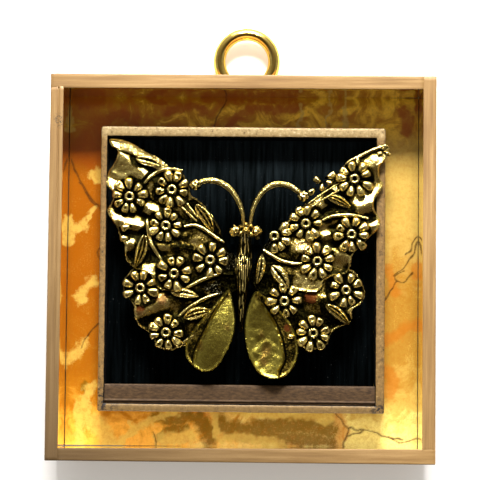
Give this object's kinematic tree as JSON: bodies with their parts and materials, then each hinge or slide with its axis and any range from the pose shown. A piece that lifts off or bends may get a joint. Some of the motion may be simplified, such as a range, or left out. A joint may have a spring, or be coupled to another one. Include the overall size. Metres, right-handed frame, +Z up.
{
  "type": "framed butterfly brooch",
  "caption": "Metal butterfly brooch with raised flowers on black card in a small gilt frame, over marbled paper in a gold shadow-box frame with a brass hanging ring.",
  "frame": {"origin": "the hanging point, at the inside top of the ring on the middle of its bar", "axes": "+Z up, +Y into the wall, +X to the viewer's right; the picture faces -Y"},
  "size_m": [0.1016, 0.0264, 0.1179],
  "materials": {
    "gold_paint": "matte gold paint with lengthwise streaks, glossy on the inner walls",
    "worn_gilt": "rough worn gilt with flakes",
    "marbled_paper": "glossy amber, orange and yellow marbling",
    "backing_card": "plain brown board",
    "black_card": "matte black with faint streaks",
    "bronze_sill": "brown bronze paint",
    "antique_gold": "antiqued gold tone, dark in the recesses",
    "brass": "polished brass"
  },
  "bodies": {
    "frame": {"frame_rail_top": "gold_paint", "frame_rail_right": "gold_paint", "frame_rail_bottom": "gold_paint", "frame_rail_left": "gold_paint", "marbled_paper": "marbled_paper", "backing_board": "backing_card", "inner_frame": "worn_gilt", "black_board": "black_card", "sill": "bronze_sill", "mounting_post": "black_card", "wing_left": "antique_gold", "wing_right": "antique_gold", "body": "antique_gold", "feeler_left": "antique_gold", "feeler_right": "antique_gold", "ring_strap": "brass", "strap_screw": "brass"},
    "ring": {"hanging_ring": "brass"}
  },
  "joints": [
    {"name": "ring_swing", "type": "hinge", "parent": "frame", "child": "ring", "pos_m": [0, 0, -0.0134], "axis": [-1, 0, 0], "range_deg": [-50, 180]}
  ]
}
